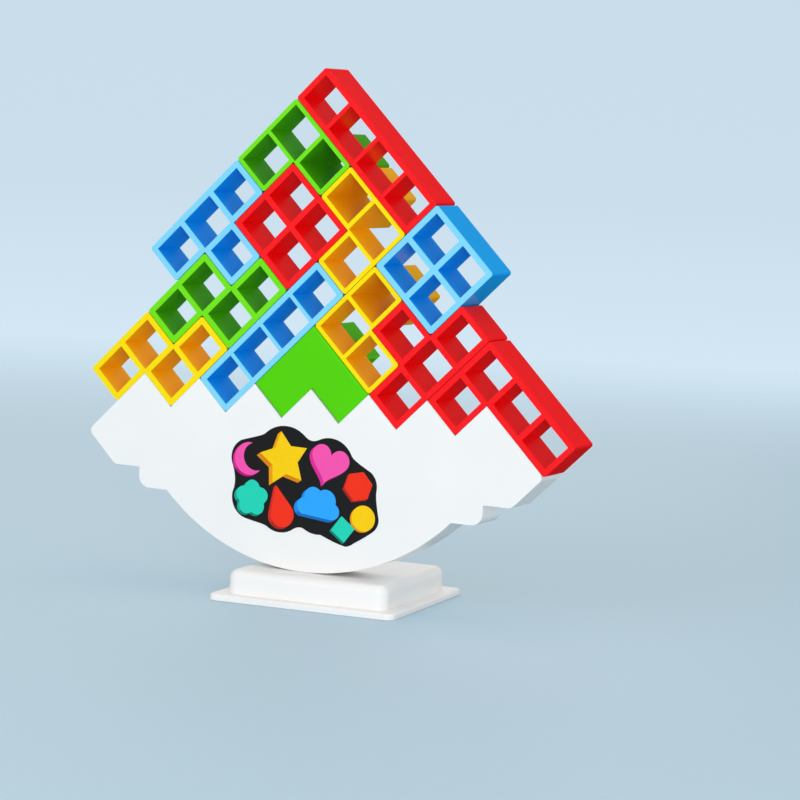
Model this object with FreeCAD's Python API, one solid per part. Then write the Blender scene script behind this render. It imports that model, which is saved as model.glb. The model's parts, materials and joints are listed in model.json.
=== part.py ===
"""Stacking balance game: hollow cube blocks stacked on a zig-zag rocker that tips on a square base.

Millimetres; X to the right, Y to the back, Z up. The origin is the middle of the base's underside.

The blocks stand in a lattice of cubes turned on its corner. Seen from the front, its u steps run
down to the right and its w steps up to the right, and v steps run to the back. Its corner (0, 0, 0)
is the middle peak of the rocker's zig-zag, on the rocker's front face.
"""
import FreeCAD, Part
import itertools
import math
import os

from FreeCAD import Vector

# Lattice
pitch = 15.0                # one cube of a block, and one side of the rocker's zig-zag
block_gap = 0.2             # between neighbouring blocks, and twice the gap above the rocker
half_diagonal = pitch / math.sqrt(2)

# Blocks: outer walls, webs between two tubes, and the rounding of the outer corners
flat_wall, flat_web = 2.0, 2.0
bar_wall, bar_web = 1.9, 1.4
twist_wall, twist_web = 1.5, 1.4
outer_corner = 1.0

# Rocker
rocker_depth = pitch        # level with the blocks, front and back
rocking_radius = 75.0
rocker_drop = 61.0          # from the peaks down to the lowest point of the arc
peak_count = 7              # an odd number, with one peak in the middle
arm_steps = 2               # lattice steps from the last peak down to an arm's tip
arm_underside = 32.0        # below the peaks
ledge_underside = 38.9      # below the peaks
ledge_reach = 64.2          # from the middle to the end of a ledge
tip_radius, arm_radius, ledge_radius = 2.0, 3.0, 4.0
rocker_wall = 1.8
rocker_rib = 1.2
rocker_bay = 16.0           # from rib to rib
cover_thickness = 1.8
cover_clearance = 0.1       # round the cover, inside the rocker's wall
pin_radius, pin_length = 1.5, 6.0
pin_clearance = 0.05        # of a pin in its boss
boss_wall = 1.4
pin_bays = ((-3, -2), (3, -2), (-1, -2), (1, -2), (-1, -3), (1, -3))

# Base
base_height = 10.0
brim_width, brim_thickness, brim_corner, brim_chamfer = 66.0, 2.0, 3.0, 0.6
plinth_width, plinth_corner, plinth_edge = 57.0, 4.0, 3.0
plinth_draft = 1.0          # degrees
base_wall = 2.0
base_rib = 1.4
base_ribs_each_way = 3      # an odd number, so that two ribs cross in the middle
base_turn = 4.5             # degrees that the base stands turned under the rocker

# How the rocker stands on the base
rocker_aside = -4.3         # its middle, along X from the base's middle
rocker_forward = 10.3       # its middle plane, in front of the base's middle
rest_gap = 0.05             # under the arc

front = -rocker_forward - rocker_depth / 2
peak_height = base_height + rest_gap + rocker_drop

# Each block: its wall and web, the axis its tubes run along, and its cubes as (u, v, w)
FLAT, BAR, TWIST = (flat_wall, flat_web), (bar_wall, bar_web), (twist_wall, twist_web)
U, V, W = range(3)
BLOCKS = {
    "red_bar_block": (BAR, V, [(-5, 0, 4), (-4, 0, 4), (-3, 0, 4), (-2, 0, 4)]),
    "blue_bar_block": (BAR, V, [(-2, 0, -2), (-2, 0, -1), (-2, 0, 0), (-2, 0, 1)]),
    "red_square_block": (FLAT, V, [(-4, 0, 1), (-4, 0, 2), (-3, 0, 1), (-3, 0, 2)]),
    "blue_square_block": (FLAT, V, [(-1, 0, 3), (-1, 0, 4), (0, 0, 3), (0, 0, 4)]),
    "blue_tee_block": (FLAT, V, [(-5, 0, -1), (-5, 0, 0), (-5, 0, 1), (-4, 0, 0)]),
    "red_tee_block": (FLAT, V, [(1, 0, 1), (1, 0, 2), (1, 0, 3), (0, 0, 2)]),
    "green_step_block": (FLAT, V, [(-4, 0, -2), (-4, 0, -1), (-3, 0, -1), (-3, 0, 0)]),
    "yellow_step_block": (FLAT, V, [(-4, 0, -4), (-4, 0, -3), (-3, 0, -3), (-3, 0, -2)]),
    "red_corner_block": (FLAT, V, [(2, 0, 2), (2, 0, 3), (3, 0, 3), (4, 0, 3)]),
    "green_twist_block": (TWIST, V, [(-5, 0, 2), (-5, 0, 3), (-4, 0, 3), (-4, 1, 3)]),
    "upper_yellow_twist_block": (TWIST, V, [(-2, 0, 2), (-2, 0, 3), (-3, 0, 3), (-3, 1, 3)]),
    "lower_yellow_twist_block": (TWIST, V, [(0, 0, 1), (-1, 0, 1), (-1, 0, 2), (-1, 1, 2)]),
    "green_tripod_block": (TWIST, U, [(-1, 0, -1), (-1, 0, 0), (0, 0, 0), (-1, 1, 0)]),
}
STEPS = ((1, 0, 0), (0, 1, 0), (0, 0, 1))


def moved(cube, axis, count=1):
    """The cube that lies count steps along an axis."""
    return tuple(c + count * s for c, s in zip(cube, STEPS[axis]))


def box_between(low, high):
    return Part.makeBox(*[h - l for l, h in zip(low, high)], Vector(*low))


def edges_along(solid, axis):
    """The solid's straight edges that run along one axis."""
    found = []
    for edge in solid.Edges:
        if len(edge.Vertexes) == 2:
            run = edge.Vertexes[1].Point - edge.Vertexes[0].Point
            if abs(abs(run[axis]) - edge.Length) < 1e-6:
                found.append(edge)
    return found


def is_outer_corner(solid, edge):
    """True where the two faces at a straight edge meet outwards."""
    one, other = [face.normalAt(0, 0) for face in solid.ancestorsOfType(edge, Part.Face)]
    return not solid.isInside(edge.CenterOfMass + (one - other) * 0.05, 1e-6, True)


def full_boxes(cubes):
    """Lowest and highest cube of every box that the cubes fill, single cubes included."""
    for one, other in itertools.combinations_with_replacement(cubes, 2):
        lowest = [min(pair) for pair in zip(one, other)]
        highest = [max(pair) for pair in zip(one, other)]
        filling = itertools.product(*[range(l, h + 1) for l, h in zip(lowest, highest)])
        if all(cube in cubes for cube in filling):
            yield lowest, highest


def filled_layer(cubes, axis, start_earlier):
    """The cubes of one layer across an axis as a solid, its outer corners rounded."""
    boxes = []
    for lowest, highest in full_boxes(cubes):
        low = [c * pitch + block_gap / 2 for c in lowest]
        high = [(c + 1) * pitch - block_gap / 2 for c in highest]
        low[axis] -= start_earlier
        boxes.append(box_between(low, high))
    layer = boxes[0].fuse(boxes[1:]).removeSplitter().Solids[0]
    corners = [edge for edge in edges_along(layer, axis) if is_outer_corner(layer, edge)]
    return layer.makeFillet(outer_corner, corners)


def has_long_tube(cube, cubes, axis):
    """True for a cube whose tube runs on through a second cube."""
    return moved(cube, axis) in cubes or moved(cube, axis, -1) in cubes


def wall_depth(cube, neighbour, cubes, axis, wall, web):
    """How far the wall towards a neighbour reaches into a cube.

    Two tubes share a web on the boundary, but a long tube keeps its own wall all the way.
    """
    if neighbour not in cubes or has_long_tube(cube, cubes, axis):
        return block_gap / 2 + wall
    if has_long_tube(neighbour, cubes, axis):
        return -block_gap / 2
    return web / 2


def opening(cube, cubes, axis, wall, web):
    """The opening through one cube along an axis."""
    low, high = [], []
    for side in (U, V, W):
        below = wall_depth(cube, moved(cube, side, -1), cubes, axis, wall, web)
        above = wall_depth(cube, moved(cube, side), cubes, axis, wall, web)
        low.append(cube[side] * pitch + (below if side != axis else 0))
        high.append((cube[side] + 1) * pitch - (above if side != axis else 0))
    return box_between(low, high)


def hollow_block(walls, axis, cubes):
    """A moulded block of joined cubes, open along one axis through every cube."""
    wall, web = walls
    layers = []
    for place in sorted({cube[axis] for cube in cubes}):
        in_layer = [cube for cube in cubes if cube[axis] == place]
        layers.append(filled_layer(in_layer, axis, block_gap if layers else 0))
    block = layers[0].fuse(layers[1:]) if layers[1:] else layers[0]
    return block.cut([opening(cube, cubes, axis, wall, web) for cube in cubes]).removeSplitter()


def stand_in_stack(shape):
    """Turn a shape from the lattice's axes to stand on the rocker's peaks."""
    shape = shape.copy()
    shape.rotate(Vector(0, 0, 0), Vector(0, 1, 0), 45)
    return set_on_rocker(shape)


def set_on_rocker(shape):
    """Move a shape from the middle peak at the rocker's front face to its place on the base."""
    shape.translate(Vector(rocker_aside, front, peak_height))
    return shape


def rounded_profile(corners, closing_arc_through=None):
    """Face in the XZ plane with (x, z, radius) corners.

    The side from the last corner to the first can be an arc through a given point.
    """
    points = [Vector(x, 0, z) for x, z, radius in corners]
    starts, ends, edges = [], [], []
    for n, (x, z, radius) in enumerate(corners):
        back = (points[n - 1] - points[n]).normalize()
        ahead = (points[(n + 1) % len(points)] - points[n]).normalize()
        half_angle = back.getAngle(ahead) / 2
        setback = radius / math.tan(half_angle)
        starts.append(points[n] + back * setback)
        ends.append(points[n] + ahead * setback)
        if radius:
            middle = (back + ahead).normalize()
            summit = points[n] + middle * (radius / math.sin(half_angle) - radius)
            edges.append(Part.Arc(starts[n], summit, ends[n]).toShape())
    for n in range(len(corners)):
        if n == 0 and closing_arc_through:
            edges.append(Part.Arc(ends[-1], closing_arc_through, starts[0]).toShape())
        elif starts[n].distanceToPoint(ends[n - 1]) > 1e-6:
            edges.append(Part.LineSegment(ends[n - 1], starts[n]).toShape())
    return Part.Face(Part.Wire(Part.sortEdges(edges)[0]))


def rocker_profile():
    """Front outline: zig-zag top, arms and ledges, and the arc that it rocks on."""
    last_peak = (peak_count - 1) * half_diagonal
    tip_x = last_peak + arm_steps * half_diagonal
    tip_z = -arm_steps * half_diagonal
    arm_x = tip_x - (arm_underside + tip_z)
    arc_middle_z = rocking_radius - rocker_drop
    arc_x = math.sqrt(rocking_radius ** 2 - (ledge_underside + arc_middle_z) ** 2)
    side = [
        (tip_x, tip_z, tip_radius),
        (arm_x, -arm_underside, arm_radius),
        (ledge_reach, -arm_underside, 0),
        (ledge_reach, -ledge_underside, ledge_radius),
        (arc_x, -ledge_underside, 0),
    ]
    zigzag = []
    for n in range(2 * peak_count - 1):
        depth = half_diagonal if n % 2 else 0
        zigzag.append((-last_peak + n * half_diagonal, -depth, 0))
    mirrored = [(-x, z, radius) for x, z, radius in reversed(side)]
    return rounded_profile(mirrored + zigzag + side, Vector(0, 0, -rocker_drop))


def deepened(profile, near, far):
    """Extrude a profile of the XZ plane from one depth to another."""
    profile = profile.copy()
    profile.translate(Vector(0, near, 0))
    return profile.extrude(Vector(0, far - near, 0))


def inset(profile, distance):
    """A profile drawn in by a distance, with its corners kept sharp."""
    return profile.makeOffset2D(-distance, 2)


def pin_places():
    """Where the cover's pins stand: on crossings of the rocker's ribs."""
    return [Vector(column * rocker_bay, 0, row * rocker_bay) for column, row in pin_bays]


def post(place, radius, near, far):
    return Part.makeCylinder(radius, far - near, place + Vector(0, near, 0), Vector(0, 1, 0))


def rocker_ribs(profile, far):
    """A grid of ribs behind the front wall, inside the rocker's outline."""
    box = profile.BoundBox
    ribs = []
    columns = math.ceil(box.XLength / 2 / rocker_bay)
    rows = math.ceil(box.ZLength / rocker_bay)
    for n in range(-columns, columns + 1):
        corner = Vector(n * rocker_bay - rocker_rib / 2, 0, box.ZMin)
        ribs.append(Part.makeBox(rocker_rib, far, box.ZLength, corner))
    for n in range(rows + 1):
        corner = Vector(box.XMin, 0, -n * rocker_bay - rocker_rib / 2)
        ribs.append(Part.makeBox(box.XLength, far, rocker_rib, corner))
    grid = ribs[0].fuse(ribs[1:])
    return grid.common(deepened(profile, 0, far))


def rocker_shell():
    """The rocker: front wall and rim in one moulding, ribbed inside and open at the back."""
    profile = rocker_profile()
    rib_end = rocker_depth - cover_thickness
    shell = deepened(profile, 0, rocker_depth)
    hollow = deepened(inset(profile, rocker_wall), rocker_wall, rocker_depth)
    shell = shell.cut(hollow).fuse(rocker_ribs(inset(profile, rocker_wall / 2), rib_end))
    bosses = [post(p, pin_radius + pin_clearance + boss_wall, 0, rib_end) for p in pin_places()]
    sockets = [post(p, pin_radius + pin_clearance, rib_end - pin_length - 1, rib_end)
               for p in pin_places()]
    return set_on_rocker(shell.fuse(bosses).cut(sockets).removeSplitter())


def rocker_cover():
    """The plate that closes the rocker's back, with pins that press into the bosses."""
    plate_profile = inset(rocker_profile(), rocker_wall + cover_clearance)
    plate = deepened(plate_profile, rocker_depth - cover_thickness, rocker_depth)
    root = rocker_depth - cover_thickness / 2
    pins = [post(p, pin_radius, root - cover_thickness / 2 - pin_length, root)
            for p in pin_places()]
    return set_on_rocker(plate.fuse(pins).removeSplitter())


def square_block(width, corner, low, high, draft=0):
    """A square block that narrows upwards by a draft angle, its upright edges rounded."""
    foot, head = [width / 2 - height * math.tan(math.radians(draft)) for height in (low, high)]
    block = Part.makeWedge(-foot, low, -foot, -head, -head, foot, high, foot, head, head)
    block.rotate(Vector(0, 0, 0), Vector(1, 0, 0), 90)
    upright = [edge for edge in block.Edges if edge.BoundBox.ZLength > (high - low) / 2]
    return block.makeFillet(corner, upright)


def edges_at(solid, height):
    return [e for e in solid.Edges
            if abs(e.BoundBox.ZMin - height) < 1e-6 and abs(e.BoundBox.ZMax - height) < 1e-6]


def base_ribs(width, height):
    """Ribs both ways under the top, level with the brim's underside."""
    spacing = width / (base_ribs_each_way + 1)
    ribs = []
    for n in range(base_ribs_each_way):
        place = (n + 1) * spacing - width / 2
        rib = Part.makeBox(base_rib, width, height, Vector(place - base_rib / 2, -width / 2, 0))
        ribs.append(rib)
        crossing = rib.copy()
        crossing.rotate(Vector(0, 0, 0), Vector(0, 0, 1), 90)
        ribs.append(crossing)
    return ribs[0].fuse(ribs[1:])


def base():
    """The base: a square plinth on a thin brim, moulded in one and ribbed underneath."""
    brim = square_block(brim_width, brim_corner, 0, brim_thickness)
    brim = brim.makeChamfer(brim_chamfer, edges_at(brim, brim_thickness))
    plinth = square_block(plinth_width, plinth_corner, 0, base_height, plinth_draft)
    plinth = plinth.makeFillet(plinth_edge, edges_at(plinth, base_height))
    hollow_width = plinth_width - 2 * base_wall
    hollow = square_block(hollow_width, plinth_corner - base_wall, 0, base_height - base_wall,
                          plinth_draft)
    ribs = base_ribs(hollow_width + base_wall, base_height - base_wall / 2)
    shell = brim.fuse(plinth).cut(hollow).fuse(ribs).removeSplitter()
    shell.rotate(Vector(0, 0, 0), Vector(0, 0, 1), base_turn)
    return shell


def write(name, shape):
    solid = shape.Solids[0]
    if len(shape.Solids) != 1 or not solid.isValid():
        raise ValueError(name + " is not one sound solid")
    solid.exportStep(os.path.join("parts", name + ".step"))


os.makedirs("parts", exist_ok=True)
write("base", base())
write("rocker_shell", rocker_shell())
write("rocker_back_cover", rocker_cover())
for name, (walls, axis, cubes) in BLOCKS.items():
    write(name, stand_in_stack(hollow_block(walls, axis, cubes)))
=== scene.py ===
"""Looks of the stacking balance game: glossy coloured block mouldings on a white rocker and base.

Lengths are in metres, or times MM where they are written in millimetres. The printed label is laid
out in millimetres to the right of and above the rocker's middle peak, on its front face.
"""

import json
import math

import bmesh
import bpy
from mathutils import Matrix, Vector

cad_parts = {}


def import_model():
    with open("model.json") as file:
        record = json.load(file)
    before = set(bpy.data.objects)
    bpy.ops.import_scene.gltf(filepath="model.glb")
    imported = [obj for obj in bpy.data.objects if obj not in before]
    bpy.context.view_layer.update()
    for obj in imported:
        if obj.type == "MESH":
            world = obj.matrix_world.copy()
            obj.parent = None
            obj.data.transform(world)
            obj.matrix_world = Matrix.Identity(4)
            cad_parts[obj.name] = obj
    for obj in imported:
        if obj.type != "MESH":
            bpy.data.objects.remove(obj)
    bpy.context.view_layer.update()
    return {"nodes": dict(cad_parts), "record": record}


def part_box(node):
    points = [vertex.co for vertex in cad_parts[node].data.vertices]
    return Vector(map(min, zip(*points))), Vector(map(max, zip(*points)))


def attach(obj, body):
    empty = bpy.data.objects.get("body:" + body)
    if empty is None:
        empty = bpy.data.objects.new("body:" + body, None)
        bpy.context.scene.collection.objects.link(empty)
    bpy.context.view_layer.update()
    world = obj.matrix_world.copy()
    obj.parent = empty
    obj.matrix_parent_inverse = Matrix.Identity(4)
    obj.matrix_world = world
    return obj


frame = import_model()

MM = 0.001

# Plastics, as linear light: the walls' colour, then that of the rims at the ends of the tubes, lighter by a
# painted sheen
COLOURS = {
    "red": ((0.96, 0.001, 0.003), (1.00, 0.010, 0.014)),
    "blue": ((0.001, 0.37, 0.90), (0.22, 0.68, 0.98)),
    "yellow": ((1.00, 0.50, 0.001), (1.00, 0.76, 0.001)),
    "green": ((0.070, 0.45, 0.001), (0.17, 0.78, 0.010)),
    "white": ((0.90, 0.90, 0.895), (0.90, 0.90, 0.895)),
}
CLOSED_GREEN = (0.090, 0.66, 0.001)         # walls of the block that turns a closed side to the front
FRONT_TO_BACK = (0.0, 1.0, 0.0)
DOWN_RIGHT = (0.7071, 0.0, -0.7071)
RIM_SHEEN_FACING = (0.6, 0.95)                    # how squarely a face lies across the tubes: from the wall colour to the rim's full painted sheen
FLOW_SCALE, FLOW_SHADE = 38.0, 0.94         # faint flow marks and their darkest tone
GLOSS_SCALE = 60.0
ROUGHNESS, UNEVENNESS = 0.33, 0.04
PLASTIC_IOR, PLASTIC_SPECULAR = 1.5, 0.15

# Rounding of the mouldings' outer edges
RIM_ROUNDING = 0.25 * MM
WHITE_ROUNDING = {"rocker_shell": 0.5 * MM, "rocker_back_cover": 0.2 * MM, "base": 0.2 * MM}
ROUNDING_STEPS = 3
SHARP = math.radians(35)
SAME_POINT = 0.001 * MM

# Printed label
LABEL_MIDDLE = (-1.0, -33.0)
LABEL_MARGIN = 1.9                          # of the black patch round the motifs
PATCH_HEIGHT, PRINT_HEIGHT = 0.06, 0.11     # above the rocker's face
SUNK = 0.01                                 # of each layer into what carries it
RELIEF = (-0.17, -0.13)                     # the shaded side shown, as a share of a motif's radius
UNDERSIDE_RUN = 0.8                         # a side that faces down runs this far, or more, as it rises by 1
ARC_STEPS, OUTLINE_STEPS = 40, 144
SMOOTHING = 3                               # points on each side that the patch's outline is smoothed over
MOTIFS = [
    # shape, ink, right, above, radius, turn in degrees
    ("star", "yellow", -8.6, -24.0, 9.3, 10),
    ("heart", "pink", 8.0, -24.6, 7.4, -14),
    ("hexagon", "red", 19.3, -30.4, 5.2, 12),
    ("crescent", "pink", -21.8, -25.1, 5.5, 20),
    ("flower", "teal", -20.2, -38.2, 6.1, 18),
    ("drop", "red", -9.2, -40.2, 6.8, 16),
    ("cloud", "blue", 4.8, -38.2, 8.0, -6),
    ("diamond", "teal", 14.3, -45.2, 4.4, 8),
    ("disc", "yellow", 21.6, -40.8, 4.3, 0),
]

# Inks, as display values of 0 to 255
BLACK_INK = (32, 32, 34)
INK_TONES = {
    # foot, side, top
    "yellow": ((226, 136, 0), (243, 160, 0), (255, 208, 0)),
    "pink": ((196, 10, 128), (226, 40, 152), (250, 84, 176)),
    "teal": ((8, 138, 118), (18, 172, 146), (32, 214, 184)),
    "red": ((178, 36, 30), (216, 40, 26), (250, 48, 20)),
    "blue": ((16, 108, 196), (26, 138, 226), (42, 168, 255)),
}
INK_GRAIN, INK_SHADE = 900.0, 0.90
FILM_SCALE, FILM_ROUGHNESS, FILM_SPECULAR = 220.0, (0.40, 0.52), 0.2

# Floor and background, as display values; rise is the upward part of a direction of length 1
FLOOR_COLOUR, FLOOR_SHADE = (188, 217, 233), 0.97
FLOOR_RADIUS, FLOOR_POINTS, FLOOR_DROP = 2.2, 96, 0.0001
FLOOR_GRAIN, FLOOR_ROUGHNESS = 300.0, 0.6
FLOOR_FADE = (0.3, 1.2)                     # from the middle, where it starts and where it is gone
BACKGROUND_RISE = (-0.12, 0.12)             # of the first and the last colour below
BACKGROUND = [(0.0, (190, 213, 227)), (0.16, (211, 231, 245)),
              (0.38, (203, 222, 236)), (1.0, (200, 220, 234))]
REFLECTED_RISE = (-0.05, 0.2)
REFLECTED = (0.02, 0.15)                    # share of the background in reflections, low and high

# Light
AMBIENT_COLOUR, AMBIENT = (1.02, 1.0, 0.98), 0.75
LAMPS_AIM = (0.0, 0.0, 0.09)
LAMPS = {
    # place, width and height, power in watts
    "key": ((-0.2, -1.4, 0.7), (0.8, 0.8), 3.2),
    "side": ((0.80, -1.25, 0.20), (0.6, 0.3), 6.7),
    "top": ((0.25, 0.1, 1.4), (1.0, 1.0), 1.8),
    "back": ((-0.75, 1.25, 0.45), (1.0, 0.6), 2.2),
}

# Camera: angles in degrees, sensor and lens in millimetres
CAMERA_PLACE = Vector((441.41, -880.11, 165.18)) * MM
CAMERA_AZIMUTH, CAMERA_ELEVATION, CAMERA_ROLL = 25.591, 5.661, 2.898
SENSOR, LENS = 36.0, 132.901
NEAREST, FURTHEST = 0.05, 50.0


# Shader nodes

def material(name):
    """A new material with its node tree, its shader and a coordinate fixed to the object."""
    mat = bpy.data.materials.new(name)
    mat.use_nodes = True
    tree = mat.node_tree
    place = tree.nodes.new("ShaderNodeTexCoord").outputs["Object"]
    return mat, tree, tree.nodes["Principled BSDF"], place


def noise(tree, place, scale, detail):
    node = tree.nodes.new("ShaderNodeTexNoise")
    node.inputs["Scale"].default_value = scale
    node.inputs["Detail"].default_value = detail
    tree.links.new(place, node.inputs["Vector"])
    return node.outputs["Fac"]


def ramp(tree, value, stops):
    """A colour ramp on a value; stops are (position, colour)."""
    node = tree.nodes.new("ShaderNodeValToRGB")
    elements = node.color_ramp.elements
    while len(elements) < len(stops):
        elements.new(0.5)
    for element, (position, colour) in zip(elements, stops):
        element.position = position
        element.color = (*colour, 1.0)
    tree.links.new(value, node.inputs["Fac"])
    return node.outputs["Color"]


def mottled(tree, value, colour, shade):
    """A colour that a value of 0 darkens to a shade of itself, and a value of 1 leaves as it is."""
    darker = tuple(part * shade for part in colour)
    return ramp(tree, value, [(0.0, darker), (1.0, colour)])


def spread(tree, value, source, target=(0.0, 1.0), interpolation="LINEAR"):
    """A value carried over from one range to another."""
    node = tree.nodes.new("ShaderNodeMapRange")
    node.interpolation_type = interpolation
    node.inputs["From Min"].default_value, node.inputs["From Max"].default_value = source
    node.inputs["To Min"].default_value, node.inputs["To Max"].default_value = target
    tree.links.new(value, node.inputs["Value"])
    return node.outputs["Result"]


def mixed_shaders(tree, share, first, second):
    node = tree.nodes.new("ShaderNodeMixShader")
    tree.links.new(share, node.inputs["Fac"])
    tree.links.new(first, node.inputs[1])
    tree.links.new(second, node.inputs[2])
    return node.outputs[0]


def colour_socket(sockets, name):
    """A Mix node's colour socket: it has others of the same name for other kinds of data."""
    return next(socket for socket in sockets if socket.name == name and socket.type == "RGBA")


def rim_sheen_mask(tree, axis):
    """0 to 1 for how squarely a surface faces along an axis of the object, either way: the mask of the rims'
    painted sheen.
    """
    normal = tree.nodes.new("ShaderNodeTexCoord").outputs["Normal"]
    along = tree.nodes.new("ShaderNodeVectorMath")
    along.operation = "DOT_PRODUCT"
    along.inputs[1].default_value = axis
    tree.links.new(normal, along.inputs[0])
    either_way = tree.nodes.new("ShaderNodeMath")
    either_way.operation = "ABSOLUTE"
    tree.links.new(along.outputs["Value"], either_way.inputs[0])
    return spread(tree, either_way.outputs[0], RIM_SHEEN_FACING)


def srgb(red, green, blue):
    """Display values of 0 to 255 as linear light."""
    def linear(value):
        value /= 255
        return value / 12.92 if value <= 0.04045 else ((value + 0.055) / 1.055) ** 2.4
    return tuple(linear(value) for value in (red, green, blue))


# Mouldings

def plastic(name, wall, rim_sheen, tube_axis):
    """Glossy moulded plastic: faint flow marks and slightly uneven gloss.

    The rims at the ends of the tubes are painted a lighter tone than the walls: a painted sheen, not the
    plastic's own colour.
    """
    mat, tree, shader, place = material(name)
    flow = noise(tree, place, FLOW_SCALE, 1.0)
    # painted sheen: the lighter rim colour mixed over the wall colour where a face lies across the tubes
    wall_and_sheen = tree.nodes.new("ShaderNodeMix")
    wall_and_sheen.data_type = "RGBA"
    tree.links.new(rim_sheen_mask(tree, tube_axis), wall_and_sheen.inputs["Factor"])
    for socket, colour in (("A", wall), ("B", rim_sheen)):
        tree.links.new(mottled(tree, flow, colour, FLOW_SHADE), colour_socket(wall_and_sheen.inputs, socket))
    tree.links.new(colour_socket(wall_and_sheen.outputs, "Result"), shader.inputs["Base Color"])
    gloss = noise(tree, place, GLOSS_SCALE, 1.0)
    uneven = spread(tree, gloss, (0.0, 1.0), (ROUGHNESS - UNEVENNESS, ROUGHNESS + UNEVENNESS))
    tree.links.new(uneven, shader.inputs["Roughness"])
    shader.inputs["IOR"].default_value = PLASTIC_IOR
    shader.inputs["Specular IOR Level"].default_value = PLASTIC_SPECULAR
    return mat


def node_group(name):
    """An empty geometry node group, with its first and last node."""
    group = bpy.data.node_groups.new(name, "GeometryNodeTree")
    for way in ("INPUT", "OUTPUT"):
        group.interface.new_socket(name="Geometry", in_out=way, socket_type="NodeSocketGeometry")
    return group, group.nodes.new("NodeGroupInput"), group.nodes.new("NodeGroupOutput")


def chain(group, *steps):
    """Lead the geometry through nodes in a row."""
    for step, after in zip(steps, steps[1:]):
        group.links.new(step.outputs[0], after.inputs[0])


def compared(group, operation, value, limit):
    node = group.nodes.new("FunctionNodeCompare")
    node.data_type = "FLOAT"
    node.operation = operation
    group.links.new(value, node.inputs["A"])
    node.inputs["B"].default_value = limit
    return node.outputs["Result"]


def outer_edge_marks():
    """Joins the mesh and gives its sharp outer edges a bevel weight of 1."""
    group, first, last = node_group("mark_outer_edges")
    plain = group.nodes.new("GeometryNodeRemoveAttribute")
    plain.inputs["Name"].default_value = "custom_normal"
    merge = group.nodes.new("GeometryNodeMergeByDistance")
    merge.inputs["Distance"].default_value = SAME_POINT
    angle = group.nodes.new("GeometryNodeInputMeshEdgeAngle").outputs["Signed Angle"]
    mark = group.nodes.new("GeometryNodeStoreNamedAttribute")
    mark.data_type = "FLOAT"
    mark.domain = "EDGE"
    mark.inputs["Name"].default_value = "bevel_weight_edge"
    group.links.new(compared(group, "GREATER_THAN", angle, SHARP), mark.inputs["Value"])
    chain(group, first, plain, merge, mark, last)
    return group


def smooth_shading():
    """Smooth faces, with edges kept sharp where they turn by more than the limit."""
    group, first, last = node_group("smooth_by_angle")
    angle = group.nodes.new("GeometryNodeInputMeshEdgeAngle").outputs["Unsigned Angle"]
    smooth = group.nodes.new("GeometryNodeSetShadeSmooth")
    smooth.domain = "FACE"
    sharp = group.nodes.new("GeometryNodeSetShadeSmooth")
    sharp.domain = "EDGE"
    group.links.new(compared(group, "LESS_THAN", angle, SHARP), sharp.inputs["Shade Smooth"])
    chain(group, first, smooth, sharp, last)
    return group


def soften_edges(piece, width, marks, shading):
    """Round a piece's sharp outer edges; its inner corners stay sharp."""
    piece.modifiers.new("outer_edges", "NODES").node_group = marks
    bevel = piece.modifiers.new("rounding", "BEVEL")
    bevel.width = width
    bevel.segments = ROUNDING_STEPS
    bevel.limit_method = "WEIGHT"
    piece.modifiers.new("shading", "NODES").node_group = shading
    piece.modifiers.new("flat_faces_first", "WEIGHTED_NORMAL").keep_sharp = True


def mouldings():
    """Give every moulding its plastic and softly rounded edges."""
    plastics = {slot: plastic(slot + "_plastic", wall, rim_sheen, FRONT_TO_BACK)
                for slot, (wall, rim_sheen) in COLOURS.items()}
    # the tripod block's rims carry the same painted sheen as the other green rims
    green_rim_sheen = COLOURS["green"][1]
    crosswise = {"green_tripod_block": plastic("green_plastic_crosswise", CLOSED_GREEN, green_rim_sheen,
                                               DOWN_RIGHT)}
    marks, shading = outer_edge_marks(), smooth_shading()
    for entry in frame["record"]["subparts"]:
        name, slot = entry["node"], entry["material_slot"]
        node = frame["nodes"][name]
        node.data.materials.clear()
        node.data.materials.append(crosswise.get(name, plastics[slot]))
        soften_edges(node, WHITE_ROUNDING.get(name, RIM_ROUNDING), marks, shading)


# Outlines of the label's motifs, each about a middle of (0, 0) and with a radius of about 1

def arc(middle, radius, start, end, steps=ARC_STEPS):
    """Points along a circle from one angle to another, in degrees."""
    angles = [math.radians(start + (end - start) * n / steps) for n in range(steps + 1)]
    return [(middle[0] + radius * math.cos(a), middle[1] + radius * math.sin(a)) for a in angles]


def even_corners(count):
    """Corners evenly round a circle, the first one to the right."""
    return arc((0, 0), 1.0, 0, 360, count)[:-1]


def round_outline(reach_along):
    """An outline whose distance from its middle is given for each direction."""
    return [(x * reach_along(x, z), z * reach_along(x, z)) for x, z in even_corners(OUTLINE_STEPS)]


def circles_reach(circles, x, z):
    """How far circles reach from the middle along the direction (x, z)."""
    reach = 0.0
    for middle_x, middle_z, radius in circles:
        along = middle_x * x + middle_z * z
        half_chord = radius ** 2 - middle_x ** 2 - middle_z ** 2 + along ** 2
        if half_chord > 0:
            reach = max(reach, along + math.sqrt(half_chord))
    return reach


def star():
    tips, dents = arc((0, 0), 1.0, 90, 450, 5), arc((0, 0), 0.54, 126, 486, 5)
    return [point for pair in zip(tips[:-1], dents[:-1]) for point in pair]


def heart():
    """The usual heart curve, whose height is a sum of cosines."""
    half_width, scale, lift = 0.95, 0.06, 2
    points = []
    for x, z in arc((0, 0), 1.0, 90, -270, 60)[:-1]:
        angle = math.atan2(x, z)
        height = sum(share * math.cos(n * angle) for n, share in enumerate((13, -5, -2, -1), 1))
        points.append((-half_width * math.sin(angle) ** 3, scale * (height + lift)))
    return points


def crescent():
    outer = arc((0, 0), 1.0, 60, 300)
    inner = arc((0.5, 0), 0.866, 270, 90)
    return outer + inner[1:-1]


def flower():
    petals, reach, swell = 5, 0.78, 0.22
    return round_outline(
        lambda x, z: reach + swell * abs(math.cos(petals / 2 * math.atan2(z, x))))


def drop():
    tip = (0, 1.1)
    return [tip] + arc((0, -0.36), 0.64, 154, 386)


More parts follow.
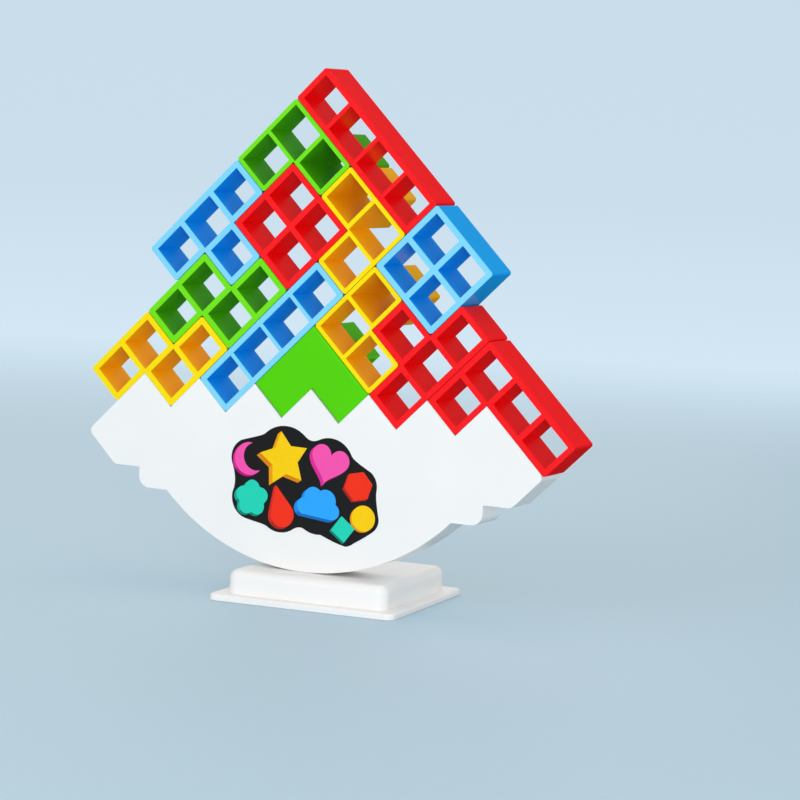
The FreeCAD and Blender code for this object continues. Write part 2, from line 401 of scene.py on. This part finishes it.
def cloud():
    """Four round lobes on a flat foot."""
    lobes = [(-0.62, -0.14, 0.36), (-0.28, 0.30, 0.42), (0.30, 0.24, 0.48), (0.66, -0.14, 0.34)]
    foot, foot_half_width = 0.49, 0.65

    def reach_along(x, z):
        if z < 0 and abs(x / z) * foot < foot_half_width:
            return -foot / z
        return circles_reach(lobes, x, z)
    return round_outline(reach_along)


SHAPES = {
    "star": star(),
    "heart": heart(),
    "hexagon": even_corners(6),
    "crescent": crescent(),
    "flower": flower(),
    "drop": drop(),
    "cloud": cloud(),
    "diamond": even_corners(4),
    "disc": even_corners(ARC_STEPS),
}


# Printed label on the rocker's front

def ink(name, colour):
    """Printed vinyl: an ink with a faint grain under a satin film."""
    mat, tree, shader, place = material(name)
    grain = noise(tree, place, INK_GRAIN, 3.0)
    tree.links.new(mottled(tree, grain, srgb(*colour), INK_SHADE), shader.inputs["Base Color"])
    film = noise(tree, place, FILM_SCALE, 2.0)
    tree.links.new(spread(tree, film, (0.0, 1.0), FILM_ROUGHNESS), shader.inputs["Roughness"])
    shader.inputs["Specular IOR Level"].default_value = FILM_SPECULAR
    return mat


def inks():
    """The inks, and for each tone the places of its foot, side and top ink among them."""
    printed, places = [ink("ink_black", BLACK_INK)], {}
    for tone, colours in INK_TONES.items():
        places[tone] = [len(printed) + n for n in range(len(colours))]
        for part, colour in zip(("foot", "side", "top"), colours):
            printed.append(ink("ink_" + tone + "_" + part, colour))
    return printed, places


def placed(shape, right, above, radius, turn):
    """A motif's outline in its place on the label."""
    cosine, sine = math.cos(math.radians(turn)), math.sin(math.radians(turn))
    return [(right + radius * (x * cosine - z * sine), above + radius * (x * sine + z * cosine))
            for x, z in SHAPES[shape]]


def patch_outline():
    """The black patch: it follows the motifs round, in soft waves."""
    circles = [(right - LABEL_MIDDLE[0], above - LABEL_MIDDLE[1], radius + LABEL_MARGIN)
               for shape, tone, right, above, radius, turn in MOTIFS]
    outline = round_outline(lambda x, z: circles_reach(circles, x, z))
    window = range(-SMOOTHING, SMOOTHING + 1)
    smooth = []
    for n in range(len(outline)):
        near = [outline[(n + step) % len(outline)] for step in window]
        smooth.append([LABEL_MIDDLE[axis] + sum(point[axis] for point in near) / len(near)
                       for axis in (0, 1)])
    return smooth


def add_slab(mesh, peak, foot, low, top, high, slots):
    """A closed slab from an outline at one height to the same outline, perhaps aside, at another.

    The slots are the materials of the foot, the sides and the top.
    """
    rings = [[mesh.verts.new(peak + Vector((x, -height, z)) * MM) for x, z in outline]
             for outline, height in ((foot, low), (top, high))]
    faces = [mesh.faces.new(rings[0][::-1]), mesh.faces.new(rings[1])]
    faces[0].material_index, faces[1].material_index = slots[0], slots[2]
    for n in range(len(foot)):
        side = mesh.faces.new((rings[0][n - 1], rings[0][n], rings[1][n], rings[1][n - 1]))
        run = rings[0][n].co - rings[0][n - 1].co
        faces_down = run.x > abs(run.z) * UNDERSIDE_RUN
        side.material_index = slots[0] if faces_down else slots[1]
        faces.append(side)
    bmesh.ops.recalc_face_normals(mesh, faces=faces)


def label():
    """A black patch with printed motifs, each with its lit top and shaded sides."""
    low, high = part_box("rocker_shell")
    peak = Vector(((low.x + high.x) / 2, low.y, high.z))
    printed, places = inks()
    mesh = bmesh.new()
    patch = patch_outline()
    add_slab(mesh, peak, patch, -SUNK, patch, PATCH_HEIGHT, (0, 0, 0))
    for shape, tone, right, above, radius, turn in MOTIFS:
        top = placed(shape, right, above, radius, turn)
        foot = [(x + RELIEF[0] * radius, z + RELIEF[1] * radius) for x, z in top]
        add_slab(mesh, peak, foot, PATCH_HEIGHT - SUNK, top, PRINT_HEIGHT, places[tone])
    data = bpy.data.meshes.new("front_label")
    mesh.to_mesh(data)
    mesh.free()
    for mat in printed:
        data.materials.append(mat)
    piece = bpy.data.objects.new("front_label", data)
    bpy.context.collection.objects.link(piece)
    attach(piece, "root")


# Floor, background, light and camera

def floor():
    """A pale paper floor that fades into the background round its edge."""
    bpy.ops.mesh.primitive_circle_add(vertices=FLOOR_POINTS, radius=FLOOR_RADIUS, fill_type="NGON",
                                      location=(0, 0, -FLOOR_DROP))
    disc = bpy.context.object
    disc.name = "floor"
    mat, tree, shader, place = material("floor_paper")
    grain = noise(tree, place, FLOOR_GRAIN, 3.0)
    tree.links.new(mottled(tree, grain, srgb(*FLOOR_COLOUR), FLOOR_SHADE),
                   shader.inputs["Base Color"])
    shader.inputs["Roughness"].default_value = FLOOR_ROUGHNESS
    distance = tree.nodes.new("ShaderNodeVectorMath")
    distance.operation = "LENGTH"
    tree.links.new(place, distance.inputs[0])
    fade = spread(tree, distance.outputs["Value"], FLOOR_FADE, interpolation="SMOOTHERSTEP")
    clear = tree.nodes.new("ShaderNodeBsdfTransparent")
    faded = mixed_shaders(tree, fade, shader.outputs[0], clear.outputs[0])
    tree.links.new(faded, tree.nodes["Material Output"].inputs["Surface"])
    disc.data.materials.append(mat)
    disc.visible_glossy = False


def highest(tree, *values):
    """The highest of some values."""
    top = values[0]
    for value in values[1:]:
        node = tree.nodes.new("ShaderNodeMath")
        node.operation = "MAXIMUM"
        tree.links.new(top, node.inputs[0])
        tree.links.new(value, node.inputs[1])
        top = node.outputs[0]
    return top


def world():
    """Even light, and a pale blue background for what the camera and reflections see."""
    studio = bpy.data.worlds.new("studio")
    bpy.context.scene.world = studio
    studio.use_nodes = True
    tree = studio.node_tree
    light = tree.nodes["Background"]
    light.inputs["Color"].default_value = (*AMBIENT_COLOUR, 1.0)
    light.inputs["Strength"].default_value = AMBIENT
    direction = tree.nodes.new("ShaderNodeSeparateXYZ")
    tree.links.new(tree.nodes.new("ShaderNodeTexCoord").outputs["Generated"], direction.inputs[0])
    rise = direction.outputs["Z"]
    stops = [(position, srgb(*colour)) for position, colour in BACKGROUND]
    seen = tree.nodes.new("ShaderNodeBackground")
    tree.links.new(ramp(tree, spread(tree, rise, BACKGROUND_RISE), stops), seen.inputs["Color"])
    rays = tree.nodes.new("ShaderNodeLightPath").outputs
    strength = tree.nodes.new("ShaderNodeMix")
    strength.inputs["A"].default_value = 1.0
    tree.links.new(rays["Is Glossy Ray"], strength.inputs["Factor"])
    tree.links.new(spread(tree, rise, REFLECTED_RISE, REFLECTED), strength.inputs["B"])
    tree.links.new(strength.outputs["Result"], seen.inputs["Strength"])
    sees = highest(tree, rays["Is Camera Ray"], rays["Is Glossy Ray"], rays["Is Transmission Ray"])
    both = mixed_shaders(tree, sees, light.outputs[0], seen.outputs[0])
    tree.links.new(both, tree.nodes["World Output"].inputs["Surface"])


def lamp(name, place, size, power):
    """A soft rectangular lamp that points at the object."""
    data = bpy.data.lights.new(name, "AREA")
    data.shape = "RECTANGLE"
    data.size, data.size_y = size
    data.energy = power
    carrier = bpy.data.objects.new(name, data)
    bpy.context.collection.objects.link(carrier)
    carrier.location = place
    carrier.rotation_euler = (Vector(LAMPS_AIM) - Vector(place)).to_track_quat("-Z", "Y").to_euler()


def camera():
    azimuth, elevation, roll = [math.radians(angle) for angle in
                                (CAMERA_AZIMUTH, CAMERA_ELEVATION, CAMERA_ROLL)]
    ahead = Vector((-math.sin(azimuth) * math.cos(elevation),
                    math.cos(azimuth) * math.cos(elevation), -math.sin(elevation)))
    level = Vector((math.cos(azimuth), math.sin(azimuth), 0))
    upright = level.cross(ahead)
    right = math.cos(roll) * level + math.sin(roll) * upright
    up = math.cos(roll) * upright - math.sin(roll) * level
    data = bpy.data.cameras.new("camera")
    data.sensor_fit = "HORIZONTAL"
    data.sensor_width = SENSOR
    data.lens = LENS
    data.clip_start, data.clip_end = NEAREST, FURTHEST
    eye = bpy.data.objects.new("camera", data)
    bpy.context.collection.objects.link(eye)
    axes = Matrix((right, up, -ahead)).transposed().to_4x4()
    eye.matrix_world = Matrix.Translation(CAMERA_PLACE) @ axes
    bpy.context.scene.camera = eye


mouldings()
label()
floor()
world()
for name, (place, size, power) in LAMPS.items():
    lamp(name, place, size, power)
camera()

bpy.context.scene.view_settings.view_transform = "Standard"
